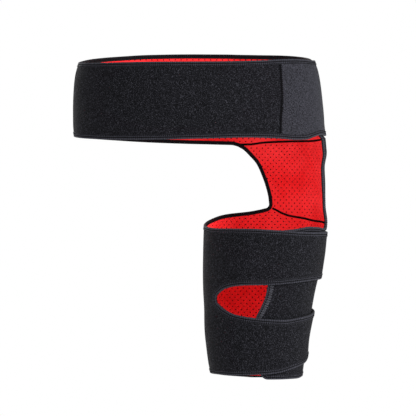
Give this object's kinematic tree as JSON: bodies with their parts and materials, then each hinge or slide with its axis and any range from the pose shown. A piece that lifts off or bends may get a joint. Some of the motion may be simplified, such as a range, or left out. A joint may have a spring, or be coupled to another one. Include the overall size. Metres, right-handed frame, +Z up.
{
  "type": "hip brace",
  "caption": "Soft wrap for hip and groin: a waist belt, a hip panel and a thigh cuff that forks into straps round a leaf-shaped window, shown fastened.",
  "frame": {"origin": "centre of the belt's hollow, halfway up the belt's sides, where the waist goes through", "axes": "+Z up the body, +X towards the braced side, +Y towards the back"},
  "size_m": [0.4029, 0.2438, 0.5119],
  "materials": {
    "pile_neoprene": "matt loop pile",
    "smooth_neoprene": "matt short pile",
    "perforated_lining": "matt knit with small holes",
    "edge_tape": "woven tape",
    "seam_thread": "stitched",
    "hook_tape": "moulded hooks"
  },
  "bodies": {
    "root": {"belt_shell": "pile_neoprene", "hip_shell": "pile_neoprene", "thigh_shell": "pile_neoprene", "belt_end_panel": "smooth_neoprene", "belt_lining": "perforated_lining", "hip_lining": "perforated_lining", "thigh_lining": "perforated_lining", "belt_top_binding": "edge_tape", "belt_bottom_binding": "edge_tape", "belt_end_binding": "edge_tape", "hip_rear_binding": "edge_tape", "hip_front_binding": "edge_tape", "flap_top_binding": "edge_tape", "flap_edge_binding": "edge_tape", "thigh_top_binding": "edge_tape", "thigh_bottom_binding": "edge_tape", "window_binding": "edge_tape", "upper_strap_end_binding": "edge_tape", "lower_strap_end_binding": "edge_tape", "belt_panel_seam": "seam_thread", "belt_hip_seam": "seam_thread", "hip_thigh_seam": "seam_thread", "belt_hook_tab": "hook_tape", "upper_hook_tab": "hook_tape", "lower_hook_tab": "hook_tape"}
  },
  "joints": []
}
